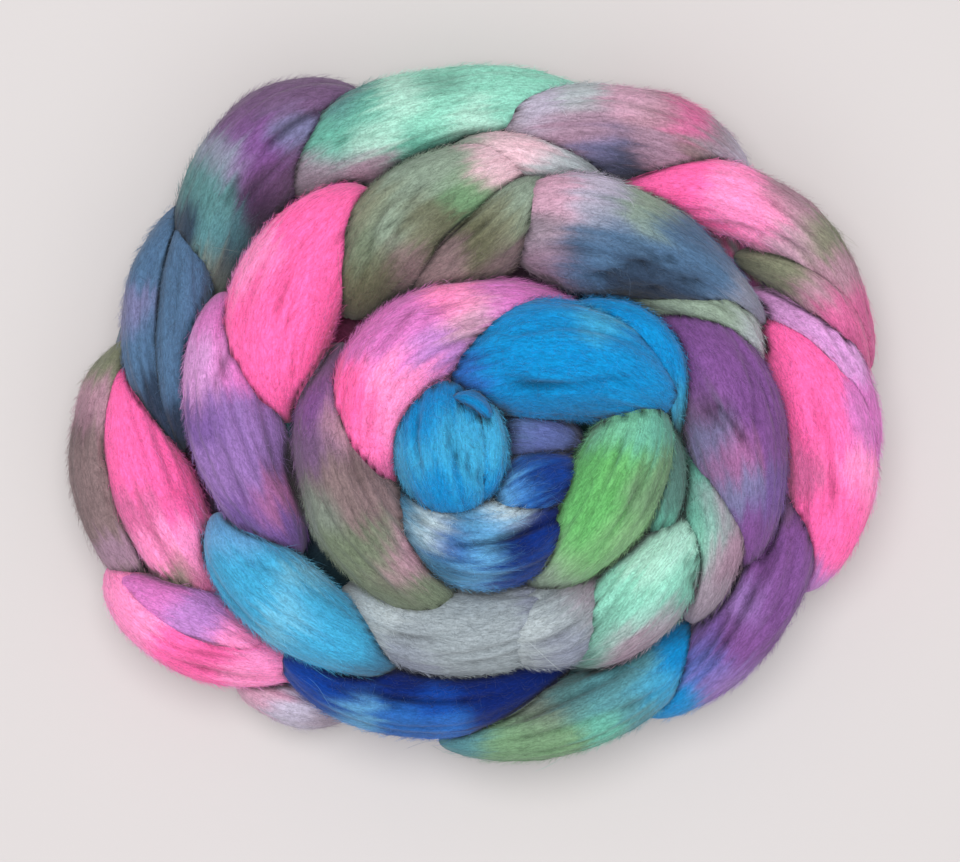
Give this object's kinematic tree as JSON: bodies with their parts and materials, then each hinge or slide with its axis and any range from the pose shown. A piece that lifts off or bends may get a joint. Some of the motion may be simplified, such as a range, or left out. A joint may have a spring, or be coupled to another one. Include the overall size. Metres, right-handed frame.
{
  "type": "coiled wool roving braid",
  "caption": "Hand-dyed wool roving, chain-plaited into soft full folds and wound as a flat spiral coil with its last loop tucked in as a raised centre knot.",
  "frame": {"origin": "on the surface that the coil rests on, under the middle of its footprint", "axes": "+Z is the normal of the coil's face, +X runs along its long side and +Y across it, so the coil lies on its back"},
  "size_m": [0.2297, 0.1962, 0.0791],
  "materials": {
    "dyed_wool": "matt combed wool, hand-dyed in soft runs of pink, violet, azure, mint, lime, olive and slate"
  },
  "bodies": {
    "root": {"wool_roving_coil": "dyed_wool"}
  },
  "joints": []
}
